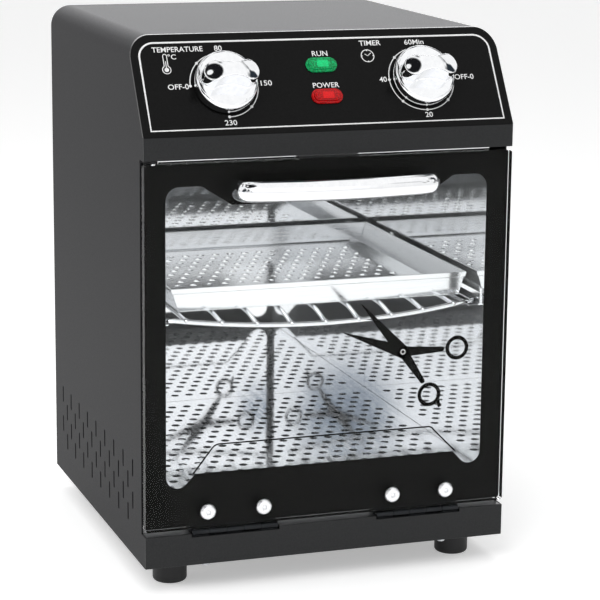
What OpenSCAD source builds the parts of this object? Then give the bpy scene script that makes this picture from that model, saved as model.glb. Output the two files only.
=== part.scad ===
// Bench-top dry heat sterilizer: a painted steel wrap round a stainless chamber, a drop-down
// glass door on two butt hinges, a sloped control panel, a wire rack and a perforated tray.
// X is to the right seen from the front, the front faces -Y, and Z is up from the feet.

/* [Cabinet] */
// Width over the painted side walls
body_w = 220; // [212:1:250]
// Depth from the front strips to the rear panel
body_d = 222; // [220:1:250]
// Height without the feet
body_h = 300; // [297:1:340]
// Thickness of the painted steel wrap
shell_t = 1; // [0.8:0.1:1.4]
// Radius of the wrap's two long upper bends
shell_r = 12.5; // [8:0.5:18]
// Height of the folded strip below the door
base_strip_h = 18.7; // [17:0.1:22]
// Height of the folded strip above the door
header_h = 13; // [11:0.5:18]
// Thickness of both folded strips
strip_t = 1.5; // [1.2:0.1:1.8]
// How far the side walls stand back beside the door
door_notch_d = 8.5; // [7.5:0.1:8.8]

/* [Control panel] */
// Height that the sloped panel takes at the front
panel_rise = 52.8; // [50:0.2:58]
// How far the panel leans back over that height
panel_setback = 34; // [28:0.5:38]
// Thickness of the panel
panel_t = 2; // [1.5:0.1:3]
// Distance of both knobs in from the cabinet's sides
knob_in = 51; // [44:0.5:60]
// Distance of both knobs from the panel's lower edge, up the slope
knob_s = 30.6; // [28:0.2:34]
// Distance of the upper lamp from the panel's lower edge, up the slope
run_lamp_s = 41; // [36:0.5:46]
// Distance of the lower lamp from the panel's lower edge, up the slope
power_lamp_s = 21.4; // [16:0.5:24]
// Length of a lamp's oval lens
lamp_w = 18.5; // [14:0.5:24]
// Width of a lamp's oval lens
lamp_h = 9; // [7:0.5:12]

/* [Knobs] */
// Diameter of a knob's round base
knob_d = 36; // [30:0.5:42]
// Height of a knob's round base
knob_base_h = 7.5; // [6:0.5:10]
// Height of the wing grip over the base
wing_h = 9; // [7:0.5:12]
// Length of the wing grip
wing_len = 32; // [28:0.5:34]
// Width of the wing grip at its round ends
wing_w = 12.4; // [11:0.2:14]
// Width of the wing grip at its waist
wing_waist = 8; // [7.6:0.2:10]
// Radius of a control shaft
shaft_r = 3; // [2.5:0.1:3.2]

/* [Door] */
// Thickness of the glass pane
glass_t = 5; // [4:0.2:5.4]
// Gap between the glass and the strip below it
door_gap_low = 3; // [3:0.1:4]
// Gap between the glass and the strip above it
door_gap_top = 2.2; // [1.5:0.1:3]
// How far the glass stops short of each side of the cabinet
door_side_gap = 0.2; // [0:0.1:1]
// Thickness of the printed border on the back of the glass
mask_t = 0.3; // [0.2:0.1:0.4]
// Width of the border beside the window
mask_side = 13.5; // [10:0.5:18]
// How far the window's top lies under the pane's top
window_drop = 13.4; // [10:0.2:17]
// Height of the window's straight sill over the cabinet's base
window_sill = 52.8; // [50:0.2:58]
// Radius of the round lobe at each end of the sill
lobe_r = 7; // [5:0.5:8]
// Height of the border's tongue behind the handle
handle_tongue_h = 11.3; // [8:0.1:14]
// Half width of that tongue at its lower edge
handle_tongue_w = 58; // [52:0.5:62]

/* [Handle] */
// Length of the bow handle
handle_len = 123; // [110:1:135]
// Height of the handle's bar
handle_h = 12; // [9:0.5:14]
// Depth of the handle's bar
handle_bar_t = 8; // [6:0.5:9]
// Reach of the handle in front of the glass
handle_reach = 24; // [20:0.5:30]
// Radius of the handle's slow forward bow
handle_bow_r = 240; // [160:5:400]
// How far the handle's middle lies under the pane's top
handle_drop = 14.7; // [11:0.1:18]
// Distance of each handle screw in from the handle's end
handle_screw_in = 6; // [4.5:0.1:7.5]

/* [Hinges] */
// Distance of each hinge's middle in from the cabinet's side
hinge_in = 53.7; // [35:0.1:65]
// Length of a hinge along its pin
hinge_len = 51.5; // [46:0.5:56]
// Outer radius of a hinge knuckle
knuckle_r = 2; // [1.8:0.05:2.1]
// Radius of a hinge pin
hinge_pin_r = 1; // [0.8:0.05:1.1]
// Radial running clearance round a pin or a shaft
run_gap = 0.05; // [0.03:0.01:0.08]
// Thickness of a hinge leaf
leaf_t = 1; // [0.8:0.1:1.1]
// Distance between the two door screws of a hinge
hinge_screw_pitch = 33.5; // [28:0.5:36]
// Height of the door screws over the cabinet's base
door_screw_z = 31.1; // [30:0.1:33]
// Diameter of a domed door screw head
door_screw_d = 9.5; // [8:0.5:11]

/* [Chamber] */
// Space between the chamber and the wrap on each side
chamber_side_gap = 10.5; // [9:0.25:12]
// Space between the chamber's back wall and the rear panel
chamber_rear_gap = 14; // [14:0.5:16]
// Height of the perforated floor over the cabinet's base
floor_h = 40; // [34:0.5:46]
// Drop of the chamber's ceiling below the strip above the door
ceiling_drop = 8.2; // [7.5:0.1:12]
// Thickness of the stainless chamber sheets
liner_t = 0.8; // [0.6:0.1:1]
// Distance from the front strips to the front frame
frame_y = 9; // [9:0.1:10]
// Thickness of the front frame
frame_t = 1; // [0.8:0.1:1.5]
// Diameter of the holes in the floor and the tray
hole_d = 5.2; // [4:0.1:6]
// Spacing of the holes in a row
hole_pitch = 9.85; // [9:0.05:13]
// Spacing of the rows of holes
hole_row = 10.6; // [9:0.1:13]

/* [Rack and tray] */
// Height of the shelf rails' flanges over the cabinet's base
rail_h = 138.5; // [120:0.5:150]
// Height of a rail's upright flange
rail_up = 9.5; // [7:0.5:12]
// Reach of a rail's flat flange into the chamber
rail_in = 8; // [6:0.5:10]
// Radius of the rack's outer rod
rack_rod_r = 1.5; // [1.2:0.05:1.8]
// Radius of the rack's cross wires
rack_wire_r = 1.25; // [1:0.05:1.4]
// Spacing of the rack's cross wires
rack_pitch = 20.4; // [19:0.1:22]
// Number of cross wires on each side of the middle one
rack_half_count = 4; // [3:1:4]
// Drop of the rack's front rod at its middle
rack_bow_drop = 5.4; // [3:0.1:7]
// How far the front rod bows forward at its middle
rack_bow_out = 7.2; // [3:0.1:7.5]
// How much narrower the tray's rim is than the chamber
tray_side_room = 17.5; // [13:0.5:39]
// Distance of the tray's front from the cabinet's front
tray_front_gap = 31.5; // [27.5:0.5:60]
// Distance of the tray's rear from the chamber's back wall
tray_rear_gap = 8.5; // [4.5:0.5:30]
// Height of the tray
tray_h = 13.5; // [11:0.5:20]
// Sideways offset of the tray from the middle of the rack
tray_shift = 5; // [0:0.5:5]
// How far the tray's walls lean out
tray_flare = 4; // [1:0.5:6]
// Thickness of the tray's sheet
tray_t = 0.8; // [0.6:0.1:1]

/* [Feet] */
// Height of the rubber feet
foot_h = 16; // [12:0.5:20]
// Diameter of the rubber feet
foot_d = 20; // [16:0.5:24]
// Distance of each foot's middle from the nearer side wall
foot_in_x = 21.5; // [16:0.5:40]
// Distance of each foot's middle from the front and the rear
foot_in_y = 26; // [20:0.5:40]

/* [Heater and controls] */
// Radius of the tubular heater
heater_r = 3.25; // [2.5:0.05:3.5]
// Distance between neighbouring legs of the heater
heater_leg_pitch = 46; // [40:1:50]
// Reach of the cord gland behind the rear panel
gland_reach = 12; // [8:0.5:16]
// Width and height of the timer's and thermostat's bodies
control_body_w = 42; // [36:1:44]
// Depth of the timer's and thermostat's bodies
control_body_d = 26; // [20:1:30]

/* [Hidden] */
$fn = 48;

// Small extra length that takes a cut clean through a face
over = 1;
// Clearance between faces on different moving pieces
swing_gap = 0.3;

// Levels, from the feet up
z_base = foot_h;
z_strip = z_base + base_strip_h;
z_top = z_base + body_h;
z_panel = z_top - panel_rise;
z_header = z_panel - header_h;
z_glass_low = z_strip + door_gap_low;
z_glass_top = z_header - door_gap_top;
z_floor = z_base + floor_h;
z_ceiling = z_header - ceiling_drop;
z_rail = z_base + rail_h;
z_handle = z_glass_top - handle_drop;

// Depths, from the front to the rear
y_front = -(body_d + gland_reach - handle_reach) / 2;
y_rear = y_front + body_d;
y_glass_back = y_front + glass_t;
y_mask_back = y_glass_back + mask_t;
y_frame = y_front + frame_y;
y_frame_back = y_frame + frame_t;
y_chamber_back = y_rear - chamber_rear_gap;
y_tray_front = y_front + tray_front_gap;
tray_d = y_chamber_back - tray_rear_gap - y_tray_front;

half_w = body_w / 2;
inner_w = half_w - shell_t;
chamber_x = half_w - chamber_side_gap;
chamber_w = 2 * chamber_x;
tray_w = chamber_w - tray_side_room;
knob_x = half_w - knob_in;
hinge_x = half_w - hinge_in;
handle_screw_x = handle_len / 2 - handle_screw_in;

// The sloped panel
panel_slant = sqrt(panel_rise * panel_rise + panel_setback * panel_setback);
panel_tilt = atan2(panel_rise, panel_setback);
panel_back_y = panel_t * panel_slant / panel_rise;

// The hinge line: the pin lies under the glass, at the middle of its thickness
y_pin = y_front + glass_t / 2;
z_pin = z_glass_low - glass_t / 2 - swing_gap;
knuckle_count = 5;
knuckle_gap = 0.2;
leaf_bore_r = hinge_pin_r + run_gap;

// Side wall slots
slot_w = 2.4;
slot_len = 10.5;
slot_pitch = 21.7;
slot_row = 9.7;
slot_first_y = 27.5;
slot_first_z = 52.6;
slot_columns = 9;

// Control shafts and the bushes they turn in
bush_r = 5;
bush_out = 4;
nut_h = 2.2;
shaft_len = 26;
knob_lift = 1;
knob_bore_len = 14;
lamp_lip = 2.6;

// Fasteners
m4_r = 2;
m3_r = 1.5;
screw_gap = 0.05;

steel_black = [0.16, 0.16, 0.17];
gloss_black = [0.05, 0.05, 0.05];
stainless = [0.78, 0.79, 0.8];
chrome = [0.88, 0.88, 0.9];
rubber_black = [0.08, 0.08, 0.08];
zinc = [0.6, 0.6, 0.62];

// Extrudes an outline drawn in X and Z along Y, from y0 to y1
module along_y(y0, y1) {
    translate([0, y1, 0]) rotate([90, 0, 0]) linear_extrude(y1 - y0) children();
}

// Extrudes an outline drawn in Y and Z along X, from x0 to x1
module along_x(x0, x1) {
    translate([x0, 0, 0]) rotate([90, 0, 90]) linear_extrude(x1 - x0) children();
}

// A block from its lowest corner to its highest
module block(low, high) {
    translate(low) cube(high - low);
}

// A rod of radius r that runs along Y
module rod_y(x, z, y0, y1, r) {
    translate([x, y0, z]) rotate([-90, 0, 0]) cylinder(h = y1 - y0, r = r);
}

// A rod of radius r that runs along X
module rod_x(y, z, x0, x1, r) {
    translate([x0, y, z]) rotate([0, 90, 0]) cylinder(h = x1 - x0, r = r);
}

// An outline with round ends, w over its length and h across
module oval(w, h) {
    square([w - h, h], center = true);
    for (side = [-1, 1]) translate([side * (w - h) / 2, 0]) circle(d = h);
}

// A rectangle with round corners, from its lowest corner to its highest
module round_rect(low, high, r) {
    translate([low[0] + r, low[1]]) square([high[0] - low[0] - 2 * r, high[1] - low[1]]);
    translate([low[0], low[1] + r]) square([high[0] - low[0], high[1] - low[1] - 2 * r]);
    for (x = [low[0] + r, high[0] - r], z = [low[1] + r, high[1] - r]) translate([x, z]) circle(r);
}

// Puts its children on the sloped panel: Z points out of it, Y points up the slope
module on_panel(x, s) {
    translate([x, y_front + s * cos(panel_tilt), z_panel + s * sin(panel_tilt)])
        rotate([panel_tilt, 0, 0])
        children();
}

// The front outline of the wrap, drawn in by some distance
module wrap_outline(inset) {
    w = half_w - inset;
    r = shell_r - inset;
    top = z_top - inset;
    translate([-w, z_base - over]) square([2 * w, top - r - z_base + over]);
    translate([-w + r, z_base]) square([2 * (w - r), top - z_base]);
    for (side = [-1, 1]) translate([side * (w - r), top - r]) circle(r);
}

// Staggered rows of upright slots in both side walls
module side_slots() {
    along_x(-half_w - over, half_w + over)
        for (row = [0:3], column = [0:slot_columns - 1 - row % 2])
            translate([
                y_front + slot_first_y + (column + (row % 2) / 2) * slot_pitch,
                z_base + slot_first_z - row * slot_row
            ])
                rotate(90) oval(slot_len, slot_w);
}

// What is cut off the front of the wrap: strips, door and sloped panel stand there
module wrap_front_cut() {
    lean = panel_setback / panel_rise;
    along_x(-half_w - over, half_w + over)
        polygon([
            [y_front - over, z_base - 2 * over],
            [y_front + strip_t, z_base - 2 * over],
            [y_front + strip_t, z_strip],
            [y_front + door_notch_d, z_strip],
            [y_front + door_notch_d, z_header],
            [y_front + strip_t, z_header],
            [y_front + strip_t, z_panel],
            [y_front + panel_back_y, z_panel],
            [y_front + panel_back_y + (panel_rise + over) * lean, z_top + over],
            [y_front - over, z_top + over]
        ]);
}

module outer_shell() {
    color(steel_black)
        difference() {
            along_y(y_front, y_rear)
                intersection() {
                    difference() {
                        wrap_outline(0);
                        wrap_outline(shell_t);
                    }
                    translate([-half_w, z_base]) square([body_w, body_h]);
                }
            wrap_front_cut();
            side_slots();
        }
}

// Rows of upright vent slots through the rear panel
module rear_slots(z, count) {
    slot_len = 18;
    slot_pitch = 11;
    for (i = [0:count - 1])
        translate([(i - (count - 1) / 2) * slot_pitch, z]) rotate(90) oval(slot_len, 3);
}

module rear_panel() {
    flange = 8;
    color(steel_black)
        difference() {
            union() {
                along_y(y_rear - shell_t, y_rear)
                    intersection() {
                        wrap_outline(shell_t);
                        translate([-half_w, z_base]) square([body_w, body_h]);
                    }
                for (side = [-1, 1])
                    block(
                        [side * inner_w - (side > 0 ? shell_t : 0), y_rear - flange, z_base + flange + 3],
                        [side * inner_w + (side > 0 ? 0 : shell_t), y_rear, z_top - shell_r - 2]
                    );
            }
            along_y(y_rear - 2 * shell_t, y_rear + over) {
                rear_slots(z_base + 276, 11);
                rear_slots(z_base + 252, 11);
                rear_slots(z_base + 70, 9);
                translate([gland_x, gland_z]) circle(gland_r + screw_gap);
                for (p = rear_screw_points) translate(p) circle(m3_r + screw_gap);
            }
        }
}

gland_x = 62;
gland_z = z_base + 26;
gland_r = 6;
rear_screw_points = [
    for (x = [-inner_w + 8, inner_w - 8], z = [z_base + 22, z_base + body_h / 2, z_top - 22]) [x, z],
    [-40, z_base + 6],
    [40, z_base + 6]
];

module base_pan() {
    rim = 10;
    color(steel_black)
        difference() {
            union() {
                block([-inner_w, y_front + strip_t, z_base], [inner_w, y_rear - shell_t, z_base + shell_t]);
                for (side = [-1, 1])
                    block(
                        [side * inner_w - (side > 0 ? shell_t : 0), y_frame_back, z_base],
                        [side * inner_w + (side > 0 ? 0 : shell_t), y_rear - shell_t, z_base + rim]
                    );
                block([-inner_w, y_rear - 2 * shell_t, z_base], [inner_w, y_rear - shell_t, z_base + rim]);
            }
            for (p = foot_points) translate([p[0], p[1], z_base - over]) cylinder(h = 4, r = m4_r + screw_gap);
            for (side = [-1, 1]) translate([side * base_screw_x, y_front + 5, z_base - over])
                cylinder(h = 4, r = m3_r + screw_gap);
            for (x = [-40, 40]) rod_y(x, z_base + 6, y_rear - 3, y_rear, m3_r + screw_gap);
        }
}

foot_points = [
    for (y = [y_front + foot_in_y, y_rear - foot_in_y], side = [-1, 1]) [side * (half_w - foot_in_x), y]
];
base_screw_x = 73;

// Room for a hinge's knuckles and leaves in the strip below the door
module hinge_notch(side) {
    block(
        [side * hinge_x - hinge_len / 2 - 2 * swing_gap, y_front - over, z_pin - knuckle_r - swing_gap],
        [side * hinge_x + hinge_len / 2 + 2 * swing_gap, y_glass_back + 2 * leaf_t, z_strip + over]
    );
}

module base_strip() {
    color(steel_black)
        difference() {
            union() {
                block([-half_w, y_front, z_base], [half_w, y_front + strip_t, z_strip]);
                block([-inner_w, y_front, z_base + shell_t], [inner_w, y_frame, z_base + shell_t + strip_t]);
                block([-inner_w, y_front, z_strip - strip_t], [inner_w, y_frame, z_strip]);
            }
            for (side = [-1, 1]) {
                hinge_notch(side);
                translate([side * base_screw_x, y_front + 5, z_base]) cylinder(h = 4, r = m3_r + screw_gap);
            }
        }
}

module header_strip() {
    color(steel_black) {
        block([-half_w, y_front, z_header], [half_w, y_front + strip_t, z_panel]);
        block([-inner_w, y_front, z_header], [inner_w, y_frame_back, z_header + strip_t]);
        block([-inner_w, y_front, z_panel - strip_t], [inner_w, y_front + 6, z_panel]);
    }
}

module control_panel() {
    color(gloss_black)
        difference() {
            intersection() {
                along_y(y_front - over, y_front + panel_setback + 2 * panel_back_y) wrap_outline(0);
                along_x(-half_w - over, half_w + over)
                    polygon([
                        [y_front, z_panel],
                        [y_front + panel_back_y, z_panel],
                        [y_front + panel_setback + panel_back_y, z_top],
                        [y_front + panel_setback, z_top]
                    ]);
            }
            for (side = [-1, 1])
                on_panel(side * knob_x, knob_s) translate([0, 0, -panel_t - over])
                    cylinder(h = panel_t + 2 * over, r = bush_r + screw_gap);
            for (s = [run_lamp_s, power_lamp_s])
                on_panel(0, s) translate([0, 0, -panel_t - over])
                    linear_extrude(panel_t + 2 * over) oval(lamp_w - 2, lamp_h - 2);
        }
}

module front_frame() {
    corner = 9;
    frame_top = z_header - 0.7;
    color(stainless)
        along_y(y_frame, y_frame_back)
            difference() {
                union() {
                    translate([-inner_w, z_base + shell_t])
                        square([2 * inner_w, frame_top - corner - z_base - shell_t]);
                    translate([-chamber_x, z_base + shell_t])
                        square([chamber_w, frame_top - z_base - shell_t]);
                }
                translate([-chamber_x, z_floor]) square([chamber_w, z_ceiling - z_floor]);
            }
}

module chamber_walls() {
    color(stainless)
        difference() {
            along_y(y_frame_back, y_chamber_back)
                difference() {
                    translate([-chamber_x - liner_t, z_well_low])
                        square([chamber_w + 2 * liner_t, z_ceiling + liner_t - z_well_low]);
                    translate([-chamber_x, z_well_low - over])
                        square([chamber_w, z_ceiling - z_well_low + over]);
                }
        }
}

// The well under the floor holds the heater
well_h = 18.5;
z_well_low = z_floor - liner_t - well_h;
z_heater = z_well_low + liner_t + 8;

module chamber_back() {
    color(stainless)
        difference() {
            union() {
                block(
                    [-chamber_x - liner_t, y_chamber_back, z_well_low],
                    [chamber_x + liner_t, y_chamber_back + liner_t, z_ceiling + liner_t]
                );
                for (side = [-1, 1])
                    block(
                        [side * 92 - 4, y_chamber_back, z_ceiling - 40],
                        [side * 92 + 4, y_rear - shell_t, z_ceiling - 40 + liner_t]
                    );
            }
            for (x = heater_end_x) rod_y(x, z_heater, y_chamber_back - over, y_chamber_back + 2, terminal_r);
        }
}

terminal_r = 4.5;
heater_end_x = [-1.5 * heater_leg_pitch, 1.5 * heater_leg_pitch];

module heater_well() {
    play = 0.2;
    color(stainless)
        difference() {
            block(
                [-chamber_x + play, y_frame_back, z_well_low],
                [chamber_x - play, y_chamber_back, z_floor - liner_t]
            );
            block(
                [-chamber_x + play + liner_t, y_frame_back + liner_t, z_well_low + liner_t],
                [chamber_x - play - liner_t, y_chamber_back - liner_t, z_floor]
            );
            for (x = heater_end_x) rod_y(x, z_heater, y_chamber_back - 2, y_chamber_back + over, terminal_r);
        }
}

// Staggered rows of round holes inside a width and a depth
module hole_field(w, d) {
    columns = floor((w - hole_d) / hole_pitch / 2);
    rows = floor((d - hole_d) / hole_row / 2);
    for (row = [-rows:rows], column = [-columns:columns - abs(row) % 2])
        translate([(column + (abs(row) % 2) / 2) * hole_pitch, row * hole_row]) circle(d = hole_d, $fn = 20);
}

module perforated_floor() {
    play = 0.3;
    depth = y_chamber_back - y_frame_back;
    color(stainless)
        translate([0, (y_frame_back + y_chamber_back) / 2, z_floor - liner_t])
            linear_extrude(liner_t)
            difference() {
                square([chamber_w - 2 * play, depth - 2 * play], center = true);
                hole_field(chamber_w - 6, depth - 12);
            }
}

module shelf_rail(side) {
    wall_x = side * chamber_x;
    color(stainless)
        along_y(y_frame_back + 6, y_chamber_back - 4)
            polygon([
                [wall_x - side * rail_in, z_rail],
                [wall_x - side * rail_in, z_rail - liner_t],
                [wall_x, z_rail - liner_t],
                [wall_x, z_rail + rail_up],
                [wall_x - side * liner_t, z_rail + rail_up],
                [wall_x - side * liner_t, z_rail]
            ]);
}

// A tube with four legs, joined by three round bends
module tubular_heater() {
    y_bend = y_frame_back + 32;
    y_turn = y_chamber_back - 40;
    bend_r = heater_leg_pitch / 2;
    color(steel_black) {
        for (x = heater_end_x) rod_y(x, z_heater, y_bend, y_chamber_back + liner_t, heater_r);
        for (side = [-1, 1]) {
            rod_y(side * bend_r, z_heater, y_bend, y_turn, heater_r);
            translate([side * heater_leg_pitch, y_bend, z_heater])
                rotate([0, 0, 180]) rotate_extrude(angle = 180) translate([bend_r, 0]) circle(heater_r);
        }
        translate([0, y_turn, z_heater]) rotate_extrude(angle = 180) translate([bend_r, 0]) circle(heater_r);
    }
}

// Saddles that stand in the well and carry the heater's outer legs
module heater_clips() {
    color(zinc)
        for (x = heater_end_x, y = [y_frame_back + 60, y_chamber_back - 50])
            difference() {
                block([x - 6, y, z_well_low + liner_t], [x + 6, y + 5, z_heater]);
                rod_y(x, z_heater, y - over, y + 6, heater_r + screw_gap);
            }
}

module heater_terminals() {
    color("white")
        for (x = heater_end_x)
            difference() {
                union() {
                    rod_y(x, z_heater, y_chamber_back - liner_t, y_chamber_back + liner_t, terminal_r);
                    rod_y(x, z_heater, y_chamber_back + liner_t, y_chamber_back + 8, terminal_r + 1.5);
                }
                rod_y(x, z_heater, y_chamber_back - 2, y_chamber_back + liner_t, heater_r);
            }
}

// A control behind the panel, with the bush that its shaft turns in
module control_body(x) {
    half = control_body_w / 2;
    on_panel(x, knob_s)
        difference() {
            union() {
                translate([0, 0, -panel_t - control_body_d])
                    linear_extrude(control_body_d)
                    round_rect([-half, -half], [half, half], 4);
                translate([0, 0, -panel_t]) cylinder(h = panel_t + bush_out, r = bush_r);
            }
            translate([0, 0, -panel_t - 12]) cylinder(h = panel_t + bush_out + 12 + over, r = shaft_r + run_gap);
        }
}

module thermostat_body() {
    color(zinc) control_body(-knob_x);
}

module timer_body() {
    color(zinc) control_body(knob_x);
}

// Where the capillary leaves the thermostat, and the level of the bulb on the ceiling
bulb_r = 3;
capillary_r = 0.8;
z_bulb = z_ceiling + liner_t + bulb_r;
capillary_y = y_front + 44;
bulb_front = y_front + 80;
bulb_len = 70;

module thermostat_bulb() {
    color(zinc) {
        rod_y(-knob_x, z_bulb, bulb_front, bulb_front + bulb_len, bulb_r);
        rod_y(-knob_x, z_bulb, capillary_y, bulb_front, capillary_r);
        translate([-knob_x, capillary_y, z_bulb]) sphere(capillary_r);
        translate([-knob_x, capillary_y, z_bulb]) cylinder(h = capillary_rise, r = capillary_r);
    }
}

// Height from the bulb's level to the underside of the thermostat, over the capillary
control_back_s = knob_s - control_body_w / 2;
capillary_rise = z_panel + control_back_s * sin(panel_tilt) - (panel_t + control_body_d) * cos(panel_tilt)
    + ((capillary_y - y_front) - control_back_s * cos(panel_tilt) - (panel_t + control_body_d) * sin(panel_tilt))
    * tan(panel_tilt) - z_bulb;

module bulb_clip() {
    color(zinc)
        translate([0, bulb_front + bulb_len / 2 - 5, 0])
        rotate([90, 0, 0])
        linear_extrude(8)
        difference() {
            translate([-knob_x - 9, z_ceiling + liner_t]) union() {
                square([18, 0.8]);
                translate([9 - bulb_r - 0.8, 0]) square([2 * bulb_r + 1.6, 2 * bulb_r + 0.8]);
            }
            translate([-knob_x, z_bulb]) circle(bulb_r + screw_gap);
            translate([-knob_x - bulb_r - screw_gap, z_ceiling]) square([2 * (bulb_r + screw_gap), bulb_r + liner_t]);
        }
}

// Hexagonal nuts that hold both controls to the panel
module control_nuts() {
    color(zinc)
        for (side = [-1, 1])
            on_panel(side * knob_x, knob_s)
                difference() {
                    cylinder(h = nut_h, r = 8, $fn = 6);
                    translate([0, 0, -over]) cylinder(h = nut_h + 2 * over, r = bush_r + screw_gap);
                }
}

// An oval lens with a stepped, sloping rim
module lamp_lens(s) {
    on_panel(0, s) {
        linear_extrude(1.4) oval(lamp_w, lamp_h);
        linear_extrude(lamp_lip) oval(lamp_w - 2.4, lamp_h - 2.4);
        translate([0, 0, -panel_t - 2]) linear_extrude(panel_t + 2) oval(lamp_w - 2.2, lamp_h - 2.2);
    }
}

module lamp_body(s) {
    on_panel(0, s)
        difference() {
            translate([0, 0, -panel_t - 20]) linear_extrude(20) oval(lamp_w + 2, lamp_h + 2);
            translate([0, 0, -panel_t - 2 - screw_gap])
                linear_extrude(4) oval(lamp_w - 2.2 + 2 * screw_gap, lamp_h - 2.2 + 2 * screw_gap);
        }
}

module run_lamp_lens() {
    color([0.05, 0.6, 0.3]) lamp_lens(run_lamp_s);
}

module power_lamp_lens() {
    color([0.8, 0.08, 0.08]) lamp_lens(power_lamp_s);
}

module run_lamp_body() {
    color("white") lamp_body(run_lamp_s);
}

module power_lamp_body() {
    color("white") lamp_body(power_lamp_s);
}

// A row of screw terminals on the ceiling of the chamber
module terminal_block() {
    block_d = 18;
    y0 = y_chamber_back - 40 - block_d;
    z0 = z_ceiling + liner_t;
    color([0.9, 0.9, 0.85])
        difference() {
            union() {
                block([10, y0, z0], [60, y0 + block_d, z0 + 8]);
                block([10, y0 + 5, z0], [60, y0 + 13, z0 + 14]);
            }
            for (i = [0:3]) translate([17 + i * 12, y0 + 9, z0 + 8]) cylinder(h = 7, r = 2);
        }
}

// The gland that the mains lead would enter by
module cord_gland() {
    color(rubber_black)
        translate([gland_x, 0, gland_z])
        rotate([90, 0, 0])
        translate([0, 0, -y_rear])
        difference() {
            rotate_extrude()
                polygon([
                    [0, -gland_reach],
                    [4.5, -gland_reach],
                    [6, -gland_reach + 2],
                    [7.5, -3],
                    [9, -3],
                    [9, 0],
                    [gland_r, 0],
                    [gland_r, shell_t],
                    [8, shell_t],
                    [8, shell_t + 4],
                    [0, shell_t + 4]
                ]);
            translate([0, 0, -gland_reach - over]) cylinder(h = gland_reach + shell_t + 4 + 2 * over, r = 3.2);
        }
}

// The magnet block on the frame's top bar, and the plate that it pulls
magnet_face = 0.3;

module magnet_catch() {
    color(rubber_black)
        block(
            [-18, y_mask_back + strike_t + magnet_face, z_ceiling + 0.6],
            [18, y_frame, z_ceiling + 6.6]
        );
}

strike_t = 0.6;

module strike_plate() {
    color(zinc) block([-20, y_mask_back, z_ceiling], [20, y_mask_back + strike_t, z_glass_top - 0.5]);
}

module door_bumpers() {
    color(rubber_black)
        for (side = [-1, 1])
            rod_y(side * (chamber_x + 4.5), z_ceiling - 10, y_mask_back + swing_gap, y_frame, 3);
}

// One knuckle's place along the pin, from the hinge's left end
function knuckle_x(side, i) = side * hinge_x - hinge_len / 2 + i * hinge_len / knuckle_count;

// The knuckles whose number is even, or odd, round the pin
module knuckles(side, first) {
    pitch = hinge_len / knuckle_count;
    for (i = [first:2:knuckle_count - 1])
        rod_x(y_pin, z_pin, knuckle_x(side, i) + knuckle_gap / 2, knuckle_x(side, i) + pitch - knuckle_gap / 2, knuckle_r);
}

module hinge_base_leaf(side) {
    pitch = hinge_len / knuckle_count;
    color(zinc)
        difference() {
            union() {
                block(
                    [side * hinge_x - hinge_len / 2, y_front + strip_t, z_strip - 14],
                    [side * hinge_x + hinge_len / 2, y_front + strip_t + leaf_t, z_pin]
                );
                knuckles(side, 0);
            }
            for (i = [1:2:knuckle_count - 1])
                block(
                    [knuckle_x(side, i) - knuckle_gap / 2, y_front, z_pin - knuckle_r - swing_gap],
                    [knuckle_x(side, i) + pitch + knuckle_gap / 2, y_glass_back, z_pin + knuckle_r + over]
                );
            rod_x(y_pin, z_pin, side * hinge_x - hinge_len, side * hinge_x + hinge_len, leaf_bore_r);
        }
}

// Top of the door leaf, over its screws
leaf_top = z_base + door_screw_z + 4;

module hinge_door_leaf(side) {
    pitch = hinge_len / knuckle_count;
    tail_low = z_pin + leaf_bore_r;
    color(zinc)
        difference() {
            union() {
                block(
                    [side * hinge_x - hinge_len / 2, y_mask_back, tail_low],
                    [side * hinge_x + hinge_len / 2, y_mask_back + leaf_t, leaf_top]
                );
                for (i = [1:2:knuckle_count - 1])
                    block(
                        [knuckle_x(side, i) + knuckle_gap / 2, y_pin, tail_low],
                        [knuckle_x(side, i) + pitch - knuckle_gap / 2, y_mask_back + leaf_t, z_pin + knuckle_r]
                    );
                knuckles(side, 1);
            }
            rod_x(y_pin, z_pin, side * hinge_x - hinge_len, side * hinge_x + hinge_len, leaf_bore_r);
            for (end = [-1, 1])
                rod_y(
                    side * hinge_x + end * hinge_screw_pitch / 2, z_base + door_screw_z,
                    y_glass_back, y_frame, m3_r + screw_gap
                );
        }
}

module hinge_pin(side) {
    color(chrome) rod_x(y_pin, z_pin, side * hinge_x - hinge_len / 2, side * hinge_x + hinge_len / 2, hinge_pin_r);
}

// A rubber foot with a rolled lower rim and a recess for its screw
module foot(index) {
    r = foot_d / 2;
    rim = 2;
    color(rubber_black)
        translate([foot_points[index][0], foot_points[index][1], 0])
        difference() {
            union() {
                rotate_extrude() {
                    polygon([
                        [0, 0],
                        [r - rim, 0],
                        [r - rim, rim],
                        [r, rim],
                        [r, foot_h - 1],
                        [r - 1, foot_h],
                        [0, foot_h]
                    ]);
                    translate([r - rim, rim]) circle(rim);
                }
            }
            translate([0, 0, -over]) cylinder(h = 5 + over, r = 5);
            translate([0, 0, -over]) cylinder(h = foot_h + 2 * over, r = m4_r + screw_gap);
        }
}

// Four screws that hold the feet, heads inside their recesses
module foot_screws() {
    color(zinc)
        for (p = foot_points)
            translate([p[0], p[1], 0]) {
                translate([0, 0, 2.4]) cylinder(h = 2.6, r = 3.8);
                translate([0, 0, 5]) cylinder(h = foot_h - 5 + 5, r = m4_r);
            }
}

// Two pan heads under the strip below the door
module base_strip_screws() {
    color(zinc)
        for (side = [-1, 1])
            translate([side * base_screw_x, y_front + 5, z_base - 1.8]) {
                cylinder(h = 1.8, r1 = 2.2, r2 = 2.8);
                cylinder(h = 1.8 + shell_t + strip_t + 1.5, r = m3_r);
            }
}

module rear_screws() {
    color(zinc)
        for (p = rear_screw_points) {
            rod_y(p[0], p[1], y_rear, y_rear + 1.8, 2.8);
            rod_y(p[0], p[1], y_rear - 4, y_rear, m3_r);
        }
}

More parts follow.
